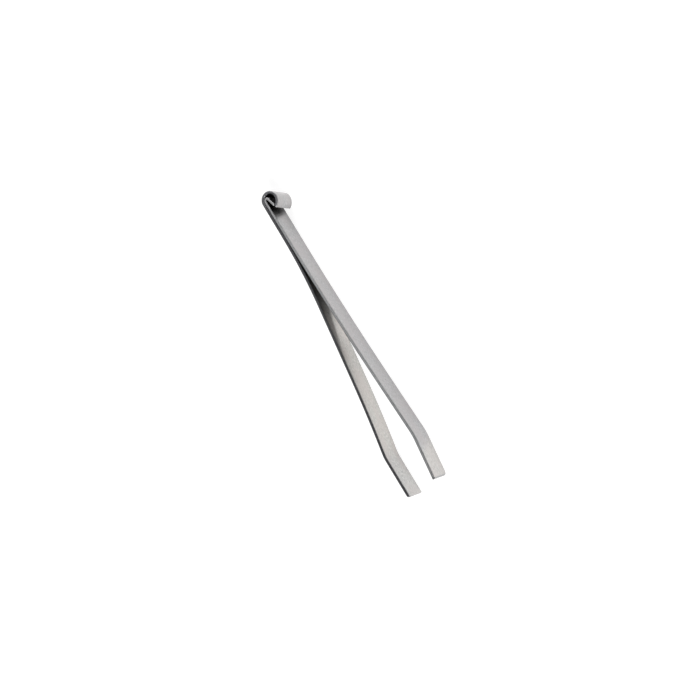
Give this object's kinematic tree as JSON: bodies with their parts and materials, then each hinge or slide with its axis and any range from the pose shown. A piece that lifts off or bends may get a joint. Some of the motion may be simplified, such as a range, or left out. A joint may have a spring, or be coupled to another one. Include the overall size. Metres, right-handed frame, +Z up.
{
  "type": "stamp tongs",
  "caption": "Spring-steel stamp tongs: flat bowed arms with square inturned tips, hooked together inside a rolled head.",
  "frame": {"origin": "middle of the whole object's box at its lowest level, where the tongs lie on the lower long edges of their strips", "axes": "+X along the tongs from the tips towards the curled head, +Y from the front arm towards the rear arm, the way the jaw opens, +Z up across the width of the strips"},
  "size_m": [0.1144, 0.016, 0.01],
  "materials": {
    "spring_steel": "satin, tumbled, with a faint lengthwise grain and darker sheared edges"
  },
  "bodies": {
    "head": {"rear_arm_head": "spring_steel", "front_arm_head": "spring_steel"},
    "rear_blade": {"rear_arm_blade": "spring_steel"},
    "front_blade": {"front_arm_blade": "spring_steel"}
  },
  "joints": [
    {"name": "rear_arm_flex", "type": "hinge", "parent": "head", "child": "rear_blade", "pos_m": [0.02081, -0.0017, 0.005], "axis": [0, 0, 1], "range_deg": [0, 3.7], "stiffness_Nm_per_rad": 3.6},
    {"name": "front_arm_flex", "type": "hinge", "parent": "head", "child": "front_blade", "pos_m": [0.02078, -0.00278, 0.005], "axis": [0, 0, -1], "range_deg": [0, 3.7], "stiffness_Nm_per_rad": 3.6}
  ]
}
